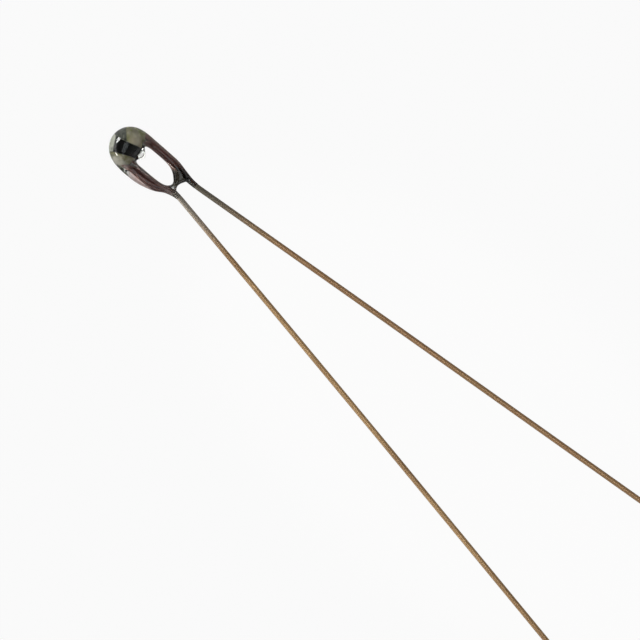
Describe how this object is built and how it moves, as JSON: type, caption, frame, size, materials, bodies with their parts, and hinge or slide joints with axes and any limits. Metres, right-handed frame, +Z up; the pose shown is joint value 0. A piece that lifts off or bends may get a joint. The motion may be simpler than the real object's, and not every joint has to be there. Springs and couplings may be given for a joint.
{
  "type": "ntc thermistor",
  "caption": "Glass-encapsulated thermistor: a clear glass bead round a small black ceramic chip, with glass-skinned legs, a thin glass web and bare spreading wire leads.",
  "frame": {"origin": "centre of the glass bead, in the plane of the two legs", "axes": "+X from the bead towards the cut ends of the leads, +Y towards lead_a, +Z up from the surface that the part lies on"},
  "size_m": [0.0287, 0.0077, 0.0014],
  "materials": {
    "glass": "fire-polished clear soft glass, faintly grey",
    "chip_ceramic": "sawn black oxide ceramic",
    "electrode_metal": "fired matt silver",
    "bond_paste": "fired conductive paste, olive to khaki, matt and grainy",
    "lead_wire": "drawn copper-clad wire, golden brown, satin"
  },
  "bodies": {
    "root": {"glass_body": "glass", "ceramic_chip": "chip_ceramic", "electrode_a": "electrode_metal", "electrode_b": "electrode_metal", "bond_a": "bond_paste", "bond_b": "bond_paste", "lead_a": "lead_wire", "lead_b": "lead_wire"}
  },
  "joints": []
}
